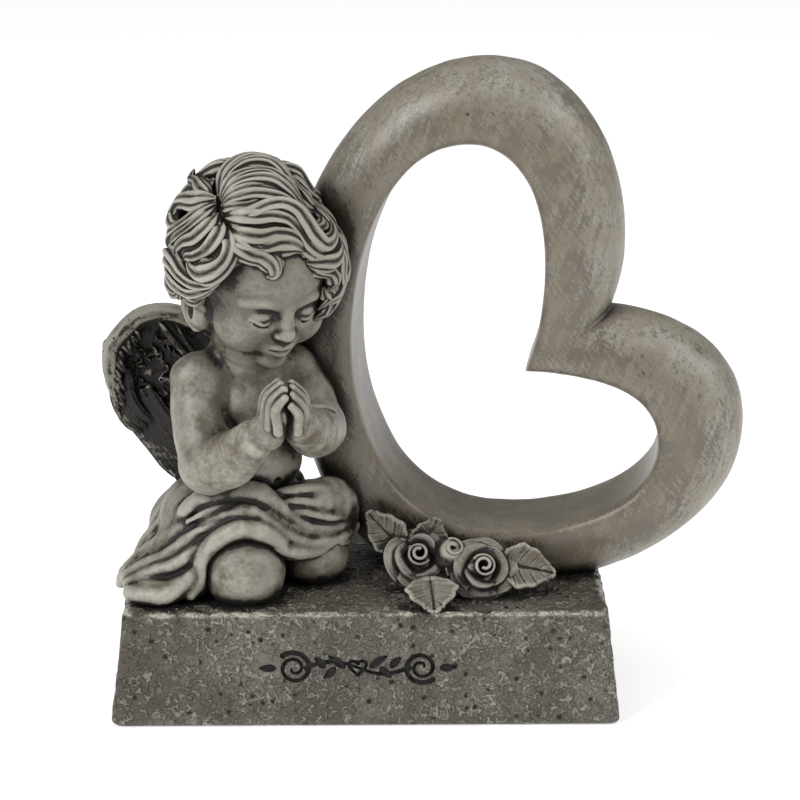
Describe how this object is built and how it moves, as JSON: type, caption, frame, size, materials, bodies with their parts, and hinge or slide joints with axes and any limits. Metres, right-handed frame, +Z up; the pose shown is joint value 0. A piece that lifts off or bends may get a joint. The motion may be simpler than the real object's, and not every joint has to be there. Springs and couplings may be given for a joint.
{
  "type": "memorial angel figurine",
  "caption": "Kneeling child angel in prayer beside a large open heart, with roses, on a rough oblong stone-effect plinth; cast resin.",
  "frame": {"origin": "centre of the plinth's flat underside", "axes": "+Z up; +X to the viewer's right along the plinth's long side; the front, which the angel kneels towards, is -Y"},
  "size_m": [0.16, 0.068, 0.1581],
  "materials": {
    "plinth": "grey-brown rough stone effect, dark wash in the hollows",
    "heart": "smooth warm grey with brushed streaks, faint satin sheen",
    "skin": "smooth pale grey, dark wash in the creases",
    "hair": "pale grey locks over near-black grooves",
    "drape": "pale grey fold crests, brown-black folds",
    "wings": "pale rim over a dark brown feathered hollow",
    "flowers": "pale grey petals and leaves, dark veins",
    "pins": "plain drawn steel rod"
  },
  "bodies": {
    "root": {"plinth": "plinth", "heart_ring": "heart", "heart_pin_left": "pins", "heart_pin_right": "pins", "wing_pin_right": "pins", "wing_pin_left": "pins", "torso": "skin", "head": "skin", "right_arm": "skin", "left_arm": "skin", "right_hand": "skin", "left_hand": "skin", "right_leg": "skin", "left_leg": "skin", "right_foot": "skin", "left_foot": "skin", "hair": "hair", "forelock": "hair", "lap_drape": "drape", "drape_tail": "drape", "right_wing": "wings", "left_wing": "wings", "left_rose": "flowers", "right_rose": "flowers", "rose_bud": "flowers", "upper_leaf": "flowers", "front_leaf": "flowers", "side_leaf": "flowers", "rear_leaf": "flowers"}
  },
  "joints": []
}
